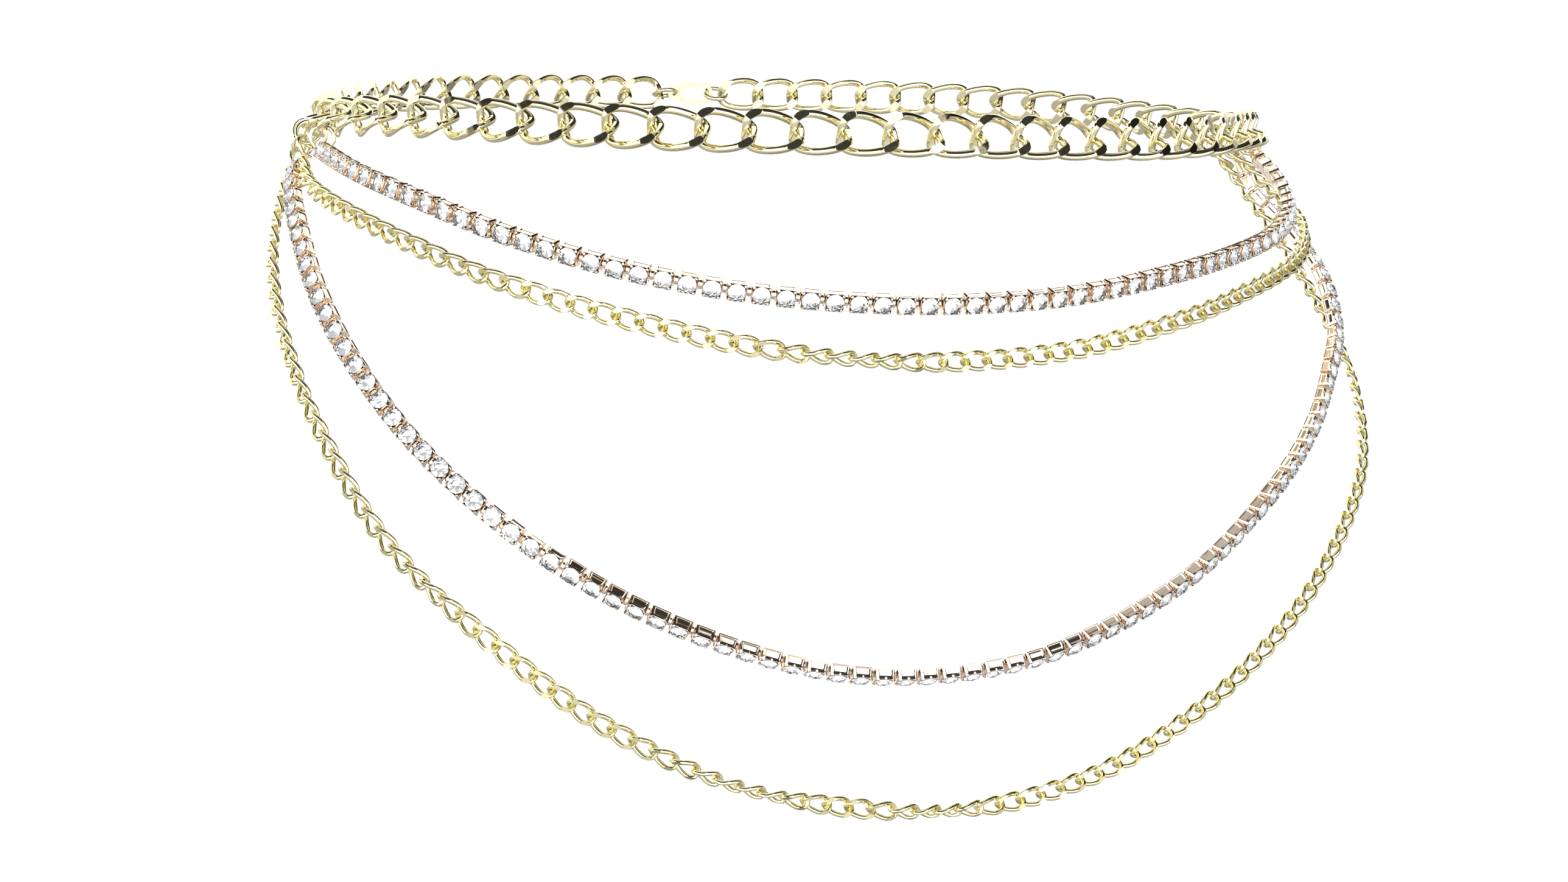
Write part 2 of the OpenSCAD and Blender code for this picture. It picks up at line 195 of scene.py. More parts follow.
def frames_between(a, b, roll):
    """For each pair of points: the middle, the direction along, across and outward, turned
    about the direction along by the roll in degrees. Returned as rows of four vectors."""
    o, t = (a + b) / 2, unit(b - a)
    n = outward(o)
    n = unit(n - dot(n, t) * t)
    u = np.cross(n, t)
    c, s = np.cos(np.radians(roll))[..., None], np.sin(np.radians(roll))[..., None]
    return np.stack([o, t, u * c + n * s, n * c - u * s], axis=-2)


def swing(frames, degrees):
    """Frames turned about their own outward direction: along becomes along cos + across sin,
    and across becomes across cos - along sin."""
    c, s = np.cos(np.radians(degrees))[:, None], np.sin(np.radians(degrees))[:, None]
    o, t, u, n = (frames[:, k] for k in range(4))
    return np.stack([o, t * c + u * s, u * c - t * s, n], axis=1)


def put(frames, shape):
    """One copy of a shape in each frame: middle + x along + y across + z outward."""
    return frames[:, None, 0] + np.einsum("pk,fkc->fpc", shape, frames[:, 1:])


def angle_of(p):
    """Angle of points round the waist, in degrees from the front: the arc tangent of x by -y."""
    return np.degrees(np.arctan2(p[..., 0], -p[..., 1]))


def signed_power(v, e):
    """The power of the size of v, with the sign of v."""
    return np.sign(v) * np.abs(v) ** e


def smooth_step(v, start, end):
    """0 up to the start, 1 from the end, and 3v^2 - 2v^3 of the share v between."""
    v = np.clip((v - start) / (end - start), 0, 1)
    return v * v * (3 - 2 * v)


# Steps in which a wire's outline is worked out, and the fewest from a flat's middle to its edge
OUTLINE_STEPS = 720
ROUND_PART = 30
# Where along a link its front face starts to lean and leans fully, from 0 in the middle to 1 at
# an end, and the share of the twist that it leans at the corners that go back
LEAN_SPAN = (0.05, 0.40)
BACK_LEAN = 0.3
# Where an end starts to swell and swells fully: along the link, and in depth behind its middle
SWELL_SPAN = (0.55, 0.9)
SWELL_DEPTH = (0.05, 0.5)


class Link:
    """One curb link: an oval hoop of wire whose two ends turn opposite ways out of its own
    plane, ground flat where it stands out furthest at the front and at the back.

    The step is the distance between neighbouring links, and the twist and the turn are in
    degrees. A lower roundness makes the hoop squarer, and a lower squareness the wire's section.
    The ground is how much is taken off, and the two swells make the wire's inner side fuller."""

    def __init__(self, step, wire, width, twist, roundness=LINK_ROUNDNESS, square=1.0, turn=0.0,
                 ground=0.0, bar_swell=0.0, end_swell=0.0):
        self.roundness = roundness
        self.bar_swell = bar_swell
        self.end_swell = end_swell
        self.half_l = (step + wire + GAP) / 2
        self.half_w = (width - wire) / 2
        self.wire = wire
        self.twist = np.radians(twist)
        self.square = square
        self.turn = np.radians(turn)
        self.ground = ground

    def middle(self, a):
        """Middle of the wire at the angles a: x = half length times cos(a) and y = half width
        times sin(a), each to the power of the roundness, then turned about the x axis by an
        angle that grows evenly from end to end."""
        x = self.half_l * signed_power(np.cos(a), self.roundness)
        y = self.half_w * signed_power(np.sin(a), self.roundness)
        tilt = -self.twist * x / self.half_l
        return np.stack([x, y * np.cos(tilt), y * np.sin(tilt)], -1)

    def even_angles(self, around):
        """Angles that part the hoop into equal lengths of wire."""
        a = np.linspace(0, 2 * np.pi, OUTLINE_STEPS + 1)
        steps = np.linalg.norm(np.diff(self.middle(a), axis=0), axis=1)
        run = np.concatenate([[0], np.cumsum(steps)])
        return np.interp(np.arange(around) * run[-1] / around, run, a)

    def lean(self, a):
        """How far the wire's front face leans down at the angles a. At the two corners that
        come forward it turns soon and fully, at the other two hardly at all."""
        share = signed_power(np.cos(a), self.roundness)
        forward = np.cos(a) * np.sin(a) < 0
        size = np.where(forward, self.turn * smooth_step(np.abs(share), *LEAN_SPAN),
                        BACK_LEAN * self.twist * np.abs(share))
        return -np.sign(share) * size

    def swell(self, a):
        """How many times as thick the wire's inner side is at the angles a: a little fuller all
        round, and more where an end goes behind the next link."""
        share = np.abs(signed_power(np.cos(a), self.roundness))
        depth = -self.middle(a)[:, 2] / (self.half_w * np.sin(self.twist))
        return (1 + self.bar_swell + self.end_swell * smooth_step(share, *SWELL_SPAN)
                * smooth_step(depth, *SWELL_DEPTH))

    def shape(self, around, side_points):
        """The wire's section carried round the hoop. The section is half the wire times the
        curve x = cos(b) and y = sin(b), each to the power of its squareness. Two points of it
        lie on the edges of the ground flat at the front, two on those at the back, and the
        others between them."""
        a = self.even_angles(around)
        c = self.middle(a)
        nudge = 0.01
        t = unit(self.middle(a + nudge) - self.middle(a - nudge))
        lean = self.lean(a)
        n = np.stack([np.zeros(around), -np.sin(lean), np.cos(lean)], -1)
        e = unit(n - dot(n, t) * t)
        s = np.cross(t, e)
        b = 2 * np.pi * np.arange(OUTLINE_STEPS) / OUTLINE_STEPS
        flat_x, flat_y = (self.wire / 2 * signed_power(v, self.square)
                          for v in (np.cos(b), np.sin(b)))
        across = np.where(flat_x < 0, flat_x * self.swell(a)[:, None], flat_x)
        height = c[:, 2:] + across * s[:, 2:] + flat_y * e[:, 2:]
        cut = height.max() - self.ground
        front = np.round(np.arctan2(e[:, 2], s[:, 2]) / b[1]).astype(int)
        half = OUTLINE_STEPS // 2
        reach = np.arange(half // 2)[None, :]

        def flat_reach(start, way, sign):
            """How many steps of the outline the flat reaches to one side."""
            index = (start[:, None] + way * reach) % OUTLINE_STEPS
            beyond = sign * np.take_along_axis(height, index, axis=1) > cut
            return np.maximum(np.cumprod(beyond, axis=1).sum(axis=1), ROUND_PART)

        right = front + flat_reach(front, 1, 1)
        left = front - flat_reach(front, -1, 1) + OUTLINE_STEPS
        back = front + half
        back_right, back_left = back - flat_reach(back, -1, -1), back + flat_reach(back, 1, -1)
        part = np.linspace(0, 1, side_points + 2)[None, :]
        ring = np.hstack([right[:, None] + part * (back_right - right)[:, None],
                          back_left[:, None] + part * (left - back_left)[:, None]])
        ring = np.round(ring).astype(int) % OUTLINE_STEPS
        across = np.take_along_axis(across, ring, axis=1)
        points = c[:, None] + across[..., None] * s[:, None] + flat_y[ring][..., None] * e[:, None]
        points[..., 2] = np.clip(points[..., 2], -cut, cut)
        return points.reshape(-1, 3), ring.shape[1]


def hoop_faces(around, sides):
    """Four-cornered faces of a grid that closes on itself both ways."""
    k, j = np.meshgrid(np.arange(around), np.arange(sides), indexing="ij")
    k2, j2 = (k + 1) % around, (j + 1) % sides
    corners = [k * sides + j, k2 * sides + j, k2 * sides + j2, k * sides + j2]
    return np.stack(corners, -1).reshape(-1, 4)


def tube_faces(levels, sides):
    """Four-cornered faces of a grid that closes on itself only round each level."""
    k, j = np.meshgrid(np.arange(levels - 1), np.arange(sides), indexing="ij")
    j2 = (j + 1) % sides
    corners = [k * sides + j, k * sides + j2, (k + 1) * sides + j2, (k + 1) * sides + j]
    return np.stack(corners, -1).reshape(-1, 4)


def fan_faces(first, sides, pole, outwards):
    """Triangles from a ring of points to one pole."""
    j = first + np.arange(sides)
    j2 = first + (np.arange(sides) + 1) % sides
    ends = (j, j2) if outwards else (j2, j)
    return np.stack([*ends, np.full(sides, pole)], -1)


def end_caps(levels, sides):
    """Fans that close the first and the last ring of a tube, each to its own pole."""
    last = (levels - 1) * sides
    return np.vstack([fan_faces(0, sides, levels * sides, False),
                      fan_faces(last, sides, levels * sides + 1, True)])


def copies(faces, count, points):
    """The same faces for each of a number of copies of a shape."""
    return (faces[None] + points * np.arange(count)[:, None, None]).reshape(-1, faces.shape[1])


def make_piece(name, points, faces, materials, face_materials=None, crease=35, smooth=True):
    """A mesh object from an array of points and arrays of faces. Edges sharper than the
    crease, in degrees, stay sharp."""
    points = points.reshape(-1, 3)
    mesh = bpy.data.meshes.new(name)
    mesh.vertices.add(len(points))
    mesh.vertices.foreach_set("co", points.astype(np.float32).ravel())
    corners = np.concatenate([f.ravel() for f in faces])
    sizes = np.concatenate([np.full(len(f), f.shape[1]) for f in faces])
    mesh.loops.add(len(corners))
    mesh.loops.foreach_set("vertex_index", corners.astype(np.int32))
    mesh.polygons.add(len(sizes))
    starts = np.concatenate([[0], np.cumsum(sizes)[:-1]])
    mesh.polygons.foreach_set("loop_start", starts.astype(np.int32))
    if face_materials is not None:
        mesh.polygons.foreach_set("material_index", face_materials.astype(np.int32))
    mesh.polygons.foreach_set("use_smooth", np.full(len(sizes), smooth))
    for material in materials:
        mesh.materials.append(material)
    mesh.update(calc_edges=True)
    if smooth:
        mesh.set_sharp_from_angle(angle=math.radians(crease))
    piece = bpy.data.objects.new(name, mesh)
    bpy.context.scene.collection.objects.link(piece)
    return piece


def finish_piece(piece, slot, *nodes):
    """Fixes a piece to the part and hides the solids that it stands for."""
    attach(piece, "root")
    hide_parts(*nodes)


# Lines of the waist chain and of the four swags

def waist_line():
    """The waist loop, from the middle of the back round the left side and the front."""
    return Line(smooth_curve(on_form(WAIST_ROUTE), closed=True))


WAIST = waist_line()
CLASP_STEP = CLASP_L - 2 * CLASP_WALL - 3 * GAP
CLASP_RUN = CLASP_STEP + 2 * (CLASP_RING_D - 2 * CLASP_RING_WIRE - GAP)
LINKS = round((WAIST.length - CLASP_RUN) / LINK_PITCH)
LINK_STEP = (WAIST.length - CLASP_RUN) / LINKS
WAIST_JOINTS = WAIST.at(CLASP_RUN / 2 + np.arange(LINKS + 1) * LINK_STEP)
WAIST_FRAMES = frames_between(WAIST_JOINTS[:-1], WAIST_JOINTS[1:], np.zeros(LINKS))

LEFT_LINK = int(np.sum(angle_of(WAIST_JOINTS[1:-1]) < -HANG_ANGLE))
RIGHT_LINK = LINKS - 1 - LEFT_LINK
RING_R = (RING_D - RING_WIRE) / 2
# For each of the four swags: how many links its ring is from the hanging link, counted toward
# the front, and 1 for that link's back half or -1 for its front half
SWAG_LINKS = (1, 0, 0, -1)
SWAG_ENDS = (1, -1, 1, -1)


def ring_bottom(side, swag):
    """Lowest point of a jump ring: a ring's drop below the lower bar of its big link."""
    link = Link(LINK_STEP, LINK_WIRE, LINK_W, LINK_TWIST)
    lower = np.arange(PLAIN_LINK_POINTS // 2, PLAIN_LINK_POINTS + 1)
    bar = link.middle(2 * np.pi * lower / PLAIN_LINK_POINTS)
    x = side * SWAG_ENDS[swag] * RING_SPACING / 2
    reach = 0.0001
    places = [x - reach, x, x + reach]
    at_x = np.stack([np.interp(places, bar[:, 0], bar[:, k]) for k in range(3)], -1)
    f = WAIST_FRAMES[(LEFT_LINK if side < 0 else RIGHT_LINK) - side * SWAG_LINKS[swag]]
    before, here, after = put(f[None], at_x)[0]
    along = unit(after - before)
    up = unit(f[2] - dot(f[2], along) * along)
    return here - (2 * RING_R - (LINK_WIRE + RING_WIRE) / 2 - GAP) * up


def swag_line(route, swag):
    """A swag's curve: from its left ring through the chosen points to its right ring."""
    left, right = (np.append(ring_bottom(side, swag), 0) for side in (-1, 1))
    return Line(smooth_curve(np.vstack([left, on_form(route), right]), closed=False))


def rolls_at(points, table):
    """Roll at each point, read evenly between a table's rows by the angle round the waist."""
    table = np.array(table, float)
    return np.interp(angle_of(points), table[:, 0], table[:, 1])


# Curb chains. A wobble is the spread of the chance roll from link to link, and a swing the turn
# of each link in the plane that it lies in, both in degrees.
BIG_STEPS, BIG_SIDE_POINTS, BIG_CREASE = 64, 6, 34
BIG_WOBBLE, BIG_SWING = 1.5, -5.5
# Links come to swing freely over these spans, in degrees round the waist: off the hanging
# links, and off the clasp
HANG_SPAN = (6, 18)
CLASP_SPAN = (172, 164)
SMALL_STEPS, SMALL_SIDE_POINTS, SMALL_CREASE = 36, 5, 36
SMALL_WOBBLE, SMALL_SWING, SWING_AFTER = 2.5, -7, 2


def even_share(v, start, end):
    """0 up to the start and 1 from the end, growing evenly between."""
    return np.clip((v - start) / (end - start), 0, 1)


def link_piece(name, frames, link, steps, side_points, crease, material):
    """A piece with one copy of a link in each frame."""
    shape, sides = link.shape(steps, side_points)
    faces = copies(hoop_faces(steps, sides), len(frames), len(shape))
    return make_piece(name, put(frames, shape), [faces], [material], crease=crease)


def big_chain(seed, material):
    """The waist chain: one pressed link in each frame of the waist loop."""
    wobble = np.random.default_rng(seed).normal(0, BIG_WOBBLE, LINKS)
    roll = rolls_at(WAIST_FRAMES[:, 0], WAIST_ROLL) + wobble
    frames = frames_between(WAIST_JOINTS[:-1], WAIST_JOINTS[1:], roll)
    side = np.abs(angle_of(frames[:, 0]))
    free = even_share(np.abs(side - HANG_ANGLE), *HANG_SPAN) * even_share(side, *CLASP_SPAN)
    frames = swing(frames, BIG_SWING * free)
    link = Link(LINK_STEP, LINK_WIRE, LINK_W, LINK_TWIST, roundness=0.48, square=0.90, turn=4,
                ground=0.0005, bar_swell=0.16, end_swell=0.5)
    piece = link_piece("waist_chain_links", frames, link, BIG_STEPS, BIG_SIDE_POINTS, BIG_CREASE,
                       material)
    finish_piece(piece, "gold", "waist_chain")


def small_chain(name, node, route, swag, rolls, seed, material):
    """A small curb chain: links at an even step, the end ones hooked into their rings."""
    line = swag_line(route, swag)
    reach = (RING_WIRE + GAP) / 2
    links = round((line.length + 2 * reach) / SMALL_PITCH)
    step = (line.length + 2 * reach) / links
    joints = line.at(np.arange(links + 1) * step - reach)
    middles = (joints[:-1] + joints[1:]) / 2
    wobble = np.random.default_rng(seed).normal(0, SMALL_WOBBLE, links)
    frames = frames_between(joints[:-1], joints[1:], rolls_at(middles, rolls) + wobble)
    number = np.arange(links)
    from_end = np.minimum(number, links - 1 - number)
    frames = swing(frames, SMALL_SWING * even_share(from_end, 0, SWING_AFTER))
    link = Link(step, SMALL_WIRE, SMALL_W, SMALL_TWIST, ground=0.00024, end_swell=0.05)
    piece = link_piece(name, frames, link, SMALL_STEPS, SMALL_SIDE_POINTS, SMALL_CREASE, material)
    finish_piece(piece, "gold", node)


# Stone chains. Each row of the table is one level of a cup in millimetres, from its back to the
# tips of its prongs and down its inside: height and half width of the wall, height and half width
# of the corner posts, width of a post from the corner, and chamfer of the corner.
MM = 0.001
CUP_LEVELS = [
    (-1.45, 2.02, -1.45, 2.02, 0.42, 0.16),
    (-1.37, 2.13, -1.37, 2.13, 0.42, 0.20),
    (-1.17, 2.13, -1.17, 2.13, 0.42, 0.22),
    (-1.10, 1.91, -1.17, 2.12, 0.42, 0.22),
    (-0.16, 1.91, -0.16, 2.08, 0.50, 0.30),
    (0.48, 1.73, 0.48, 2.04, 0.54, 0.32),
    (0.54, 1.99, 0.54, 2.04, 0.54, 0.32),
    (0.96, 1.97, 0.98, 2.00, 0.56, 0.38),
    (1.02, 1.93, 1.14, 1.95, 0.46, 0.36),
    (1.02, 1.90, 1.25, 1.84, 0.38, 0.30),
    (1.00, 1.88, 1.32, 1.70, 0.32, 0.26),
    (0.96, 1.87, 1.28, 1.58, 0.28, 0.23),
    (0.88, 1.86, 1.14, 1.54, 0.28, 0.23),
    (0.76, 1.84, 0.90, 1.70, 0.36, 0.28),
    (-0.95, 1.78, -0.95, 1.78, 0.50, 0.20),
]
CUP_FLOOR = -0.97 * MM
# Width of the slope from a post down to the wall, in millimetres
RECESS_EDGE = 0.06
CUP_CREASE = 24
# Spread of the chance roll from cup to cup, in degrees
CUP_WOBBLE = 1.2


def cup_shape():
    """The cup: at each level a square ring of 24 points, six a side, where the four at the
    corner posts and the two on the wall take their own height and half width."""
    wall_z, wall_h, post_z, post_h, post_w, chamfer = (np.array(CUP_LEVELS).T[k] for k in range(6))
    wall_y = wall_h - post_w - RECESS_EDGE
    side = np.stack([
        np.stack([post_h, chamfer - post_h, post_z], -1),
        np.stack([post_h, post_w - post_h, post_z], -1),
        np.stack([wall_h, -wall_y, wall_z], -1),
        np.stack([wall_h, wall_y, wall_z], -1),
        np.stack([post_h, post_h - post_w, post_z], -1),
        np.stack([post_h, post_h - chamfer, post_z], -1)], 1)
    turns = [(1, 0), (0, 1), (-1, 0), (0, -1)]
    rings = [np.stack([side[..., 0] * c - side[..., 1] * s, side[..., 0] * s + side[..., 1] * c,
                       side[..., 2]], -1) for c, s in turns]
    rings = np.concatenate(rings, axis=1)
    levels, sides = rings.shape[:2]
    poles = np.array([[0, 0, CUP_LEVELS[0][0] * MM], [0, 0, CUP_FLOOR]])
    points = np.vstack([rings.reshape(-1, 3) * MM, poles])
    return points, tube_faces(levels, sides), end_caps(levels, sides)


# The barrel between two cups: place along the gap from 0 to 1, and shares of its half sizes
# across and outward
BARREL_RINGS = [(-0.06, 0.62, 0.55), (0.0, 0.84, 0.80), (0.18, 1.0, 0.95), (0.5, 1.06, 1.0),
                (0.82, 1.0, 0.95), (1.0, 0.84, 0.80), (1.06, 0.62, 0.55)]
BARREL_SIDES = 10
BARREL_ACROSS, BARREL_OUT = 1.0 * MM, 0.85 * MM
BARREL_Z = -0.72 * MM
# How far the barrels and the eyes reach into a cup's wall, the eyes' radius to the middle of
# their wire, and their place in a cup's height
BARREL_BITE, EYE_BITE = 0.1 * MM, 0.15 * MM
EYE_R, EYE_Z = (EYE_D - EYE_WIRE) / 2, -0.5 * MM


def barrel_shape(gap_l):
    """The link between two cups: at each place of the table an oval ring, y = across cos(a)
    and z = out sin(a), that swells a little toward the middle."""
    a = 2 * np.pi * (np.arange(BARREL_SIDES) + 0.5) / BARREL_SIDES
    place, across, out = np.array(BARREL_RINGS).T[..., None]
    x = CUP_W / 2 - BARREL_BITE + place * (gap_l + 2 * BARREL_BITE)
    levels, sides = len(BARREL_RINGS), BARREL_SIDES
    rings = np.stack([np.broadcast_to(x, (levels, sides)), across * BARREL_ACROSS * np.cos(a),
                      BARREL_Z + out * BARREL_OUT * np.sin(a)], -1)
    poles = np.array([[x[0, 0], 0, BARREL_Z], [x[-1, 0], 0, BARREL_Z]])
    points = np.vstack([rings.reshape(-1, 3), poles])
    return points, tube_faces(levels, sides), end_caps(levels, sides)


def torus_shape(centre_x, centre_z, d, wire, around=28, sides=10):
    """A plain ring of wire in the cup's own plane: x = r cos(a), y = r sin(a) and
    z = half the wire times sin(b), where r is the radius + half the wire times cos(b)."""
    a = 2 * np.pi * np.arange(around) / around
    b = 2 * np.pi * np.arange(sides) / sides
    r = (d - wire) / 2 + wire / 2 * np.cos(b)[None, :]
    points = np.stack([centre_x + r * np.cos(a)[:, None], r * np.sin(a)[:, None],
                       np.broadcast_to(centre_z + wire / 2 * np.sin(b), (around, sides))], -1)
    return points.reshape(-1, 3), hoop_faces(around, sides)


# A stone's table and rim corners, radii of its table, crown and rim, and its heights from the
# table down to its point
FACETS = 8
RIM = 2 * FACETS
TABLE_R, CROWN_R, STONE_R = (share * STONE_D / 2 for share in (0.56, 0.80, 1))
TABLE_Z, CROWN_Z, GIRDLE_TOP, GIRDLE_BOTTOM, POINT_Z = (
    v * MM for v in (1.70, 1.48, 1.16, 1.08, -0.45))


def level_ring(r, angles, z):
    """Points at the given angles of a level circle: r cos(angle), r sin(angle), z."""
    return np.stack([r * np.cos(angles), r * np.sin(angles), np.full(len(angles), z)], -1)


def stone_shape():
    """A round brilliant: an eight-sided table, eight stars, eight kites and sixteen small
    facets down to the girdle, then eight large facets to the point, with eight small ones
    between them at the rim."""
    eighth = 2 * np.pi * np.arange(FACETS) / FACETS
    rim = 2 * np.pi * np.arange(RIM) / RIM
    points = np.vstack([level_ring(TABLE_R, eighth, TABLE_Z),
                        level_ring(CROWN_R, eighth + np.pi / FACETS, CROWN_Z),
                        level_ring(STONE_R, rim, GIRDLE_TOP),
                        level_ring(STONE_R, rim, GIRDLE_BOTTOM), [[0, 0, POINT_Z]]])
    k = np.arange(FACETS)
    table, next_table = k, (k + 1) % FACETS
    crown, last_crown = FACETS + k, FACETS + (k - 1) % FACETS
    top, mid_top, next_top = (2 * FACETS + (2 * k + step) % RIM for step in range(3))
    bottom, mid_bottom, next_bottom = top + RIM, mid_top + RIM, next_top + RIM
    point = np.full(FACETS, 2 * FACETS + 2 * RIM)
    crown_faces = [
        table[None],
        np.stack([table, crown, next_table], -1),
        np.stack([table, last_crown, top, crown], -1),
        np.stack([crown, top, mid_top], -1),
        np.stack([crown, mid_top, next_top], -1),
        np.stack([top, bottom, mid_bottom, mid_top], -1),
        np.stack([mid_top, mid_bottom, next_bottom, next_top], -1)]
    back_faces = [
        np.stack([next_bottom, mid_bottom, bottom], -1),
        np.stack([next_bottom, point, bottom], -1)]
    return points, crown_faces, back_faces


def cup_frames(line, rolls, seed):
    """Frames of the cups of a stone chain, and the step between them. The end cups reach back
    from their rings. Without a table of rolls the line's own roll is taken."""
    eye_back = RING_WIRE / 2 + EYE_WIRE / 2 + 2 * GAP
    end_run = 2 * EYE_R - eye_back + EYE_WIRE / 2 + CUP_W / 2
    cups = round((line.length - 2 * end_run) / CUP_PITCH) + 1
    step = (line.length - 2 * end_run) / (cups - 1)
    joints = end_run + (np.arange(cups + 1) - 0.5) * step
    joints[0], joints[-1] = 0, line.length
    ends = line.at(joints)
    middle = (joints[:-1] + joints[1:]) / 2
    roll = line.column(middle, 3) if rolls is None else rolls_at(line.at(middle), rolls)
    wobble = np.random.default_rng(seed).normal(0, CUP_WOBBLE, cups)
    frames = frames_between(ends[:-1], ends[1:], roll + wobble)
    frames[0, 0] = ends[0] + end_run * frames[0, 1]
    frames[-1, 0] = ends[-1] - end_run * frames[-1, 1]
    return frames, step


def stone_chain(name, nodes, route, swag, rolls, seed, metal, stone_materials):
    """A stone chain: cups with four prongs, barrels between them, an eye at each end, and a
    cut stone in each cup."""
    frames, step = cup_frames(swag_line(route, swag), rolls, seed)
    cups = len(frames)
    points, quads, caps = cup_shape()
    barrel, barrel_quads, barrel_caps = barrel_shape(step - CUP_W)
    eye_x = CUP_W / 2 + EYE_R + EYE_WIRE / 2 - EYE_BITE
    first_eye, eye_quads = torus_shape(-eye_x, EYE_Z, EYE_D, EYE_WIRE)
    last_eye, _ = torus_shape(eye_x, EYE_Z, EYE_D, EYE_WIRE)
    parts = [put(frames, points), put(frames[:-1], barrel), put(frames[:1], first_eye),
             put(frames[-1:], last_eye)]
    starts = np.cumsum([0] + [p.shape[0] * p.shape[1] for p in parts])
    faces = [copies(quads, cups, len(points)), copies(caps, cups, len(points)),
             copies(barrel_quads, cups - 1, len(barrel)) + starts[1],
             copies(barrel_caps, cups - 1, len(barrel)) + starts[1],
             eye_quads + starts[2], eye_quads + starts[3]]
    every_point = np.vstack([p.reshape(-1, 3) for p in parts])
    settings = make_piece(name + "_settings", every_point, faces, [metal], crease=CUP_CREASE)
    finish_piece(settings, "rose_gold", nodes[0])

    stone, crown_faces, back_faces = stone_shape()
    turned = swing(frames, np.random.default_rng(seed + 1).uniform(0, 360 / FACETS, cups))
    groups = [copies(f, cups, len(stone)) for f in crown_faces + back_faces]
    kinds = np.concatenate([np.full(len(f), 0 if k < len(crown_faces) else 1)
                            for k, f in enumerate(groups)])
    stones = make_piece(name + "_stones", put(turned, stone), groups, stone_materials,
                        face_materials=kinds, smooth=False)
    finish_piece(stones, "stones", nodes[-1])


# Materials

def new_material(name):
    """An empty material, its node tree and its surface shader."""
    material = bpy.data.materials.new(name)
    material.use_nodes = True
    tree = material.node_tree
    return material, tree, tree.nodes["Principled BSDF"]


def noise(tree, scale, detail=2.0, roughness=0.5, stretch=(1, 1, 1)):
    """Noise on the piece's own coordinates, as many blobs a metre as the scale says."""
    place = tree.nodes.new("ShaderNodeTexCoord")
    mapping = tree.nodes.new("ShaderNodeMapping")
    mapping.inputs["Scale"].default_value = stretch
    texture = tree.nodes.new("ShaderNodeTexNoise")
    texture.inputs["Scale"].default_value = scale
    texture.inputs["Detail"].default_value = detail
    texture.inputs["Roughness"].default_value = roughness
    tree.links.new(place.outputs["Object"], mapping.inputs["Vector"])
    tree.links.new(mapping.outputs["Vector"], texture.inputs["Vector"])
    return texture.outputs["Fac"]


def spread(tree, value, low, high, start=0.35, end=0.65):
    """A value from start to end spread over the range from low to high."""
    node = tree.nodes.new("ShaderNodeMapRange")
    node.inputs["From Min"].default_value = start
    node.inputs["From Max"].default_value = end
    node.inputs["To Min"].default_value = low
    node.inputs["To Max"].default_value = high
    tree.links.new(value, node.inputs["Value"])
    return node.outputs["Result"]


def blend_colours(tree, factor, first, second):
    """Two colours mixed by a factor."""
    node = tree.nodes.new("ShaderNodeMix")
    node.data_type = "RGBA"
    node.inputs["A"].default_value = (*first, 1)
    node.inputs["B"].default_value = (*second, 1)
    tree.links.new(factor, node.inputs["Factor"])
    return node.outputs["Result"]


def bumps(tree, shader, *layers):
    """Fine relief: each layer is a value and its height in metres, one on top of another."""
    normal = None
    for value, height in layers:
        bump = tree.nodes.new("ShaderNodeBump")
        bump.inputs["Distance"].default_value = height
        tree.links.new(value, bump.inputs["Height"])
        if normal is not None:
            tree.links.new(normal, bump.inputs["Normal"])
        normal = bump.outputs["Normal"]
    tree.links.new(normal, shader.inputs["Normal"])


HAIRLINE_DEPTH = 0.0000012


def plated_metal(name, bright, deep, polish, waviness):
    """Polished plate: patches of deeper tone, duller and brighter polish, fine hairlines and
    the faint waviness of pressed metal. The polish is the range of the roughness and the
    waviness a height in metres."""
    material, tree, shader = new_material(name)
    shader.inputs["Metallic"].default_value = 1.0
    tone = spread(tree, noise(tree, scale=160, detail=3), 0, 1)
    tree.links.new(blend_colours(tree, tone, bright, deep), shader.inputs["Base Color"])
    dull = spread(tree, noise(tree, scale=900, detail=4, roughness=0.6), *polish)
    tree.links.new(dull, shader.inputs["Roughness"])
    hairlines = noise(tree, scale=2600, detail=3, roughness=0.7, stretch=(1, 1, 5))
    waves = noise(tree, scale=420, detail=1)
    bumps(tree, shader, (waves, waviness), (hairlines, HAIRLINE_DEPTH))
    return material


def stone_glass():
    """Clear crown of a cut stone, with the faint haze of handled glass."""
    material, tree, shader = new_material("clear stone")
    shader.inputs["Base Color"].default_value = (0.985, 0.99, 1.0, 1)
    shader.inputs["Transmission Weight"].default_value = 1.0
    shader.inputs["IOR"].default_value = 1.55
    haze = spread(tree, noise(tree, scale=1400, detail=3), low=0.0, high=0.03)
    tree.links.new(haze, shader.inputs["Roughness"])
    return material


def stone_foil():
    """Silvered back of a cut stone, a little milky, with brighter and duller patches."""
    material, tree, shader = new_material("silvered stone back")
    shader.inputs["Metallic"].default_value = 0.92
    tone = spread(tree, noise(tree, scale=800, detail=2), 0, 1)
    colour = blend_colours(tree, tone, (0.96, 0.965, 0.97), (0.86, 0.875, 0.90))
    tree.links.new(colour, shader.inputs["Base Color"])
    dull = spread(tree, noise(tree, scale=1600, detail=2), low=0.02, high=0.08)
    tree.links.new(dull, shader.inputs["Roughness"])
    return material


def floor_paint():
    """Matt white floor with a faint grain."""
    material, tree, shader = new_material("pale floor")
    tone = spread(tree, noise(tree, scale=30, detail=6), 0, 1)
    colour = blend_colours(tree, tone, (0.925, 0.925, 0.925), (0.94, 0.938, 0.935))
    tree.links.new(colour, shader.inputs["Base Color"])
    shader.inputs["Roughness"].default_value = 0.9
    shader.inputs["Specular IOR Level"].default_value = 0.1
    return material


# Stage, light and camera

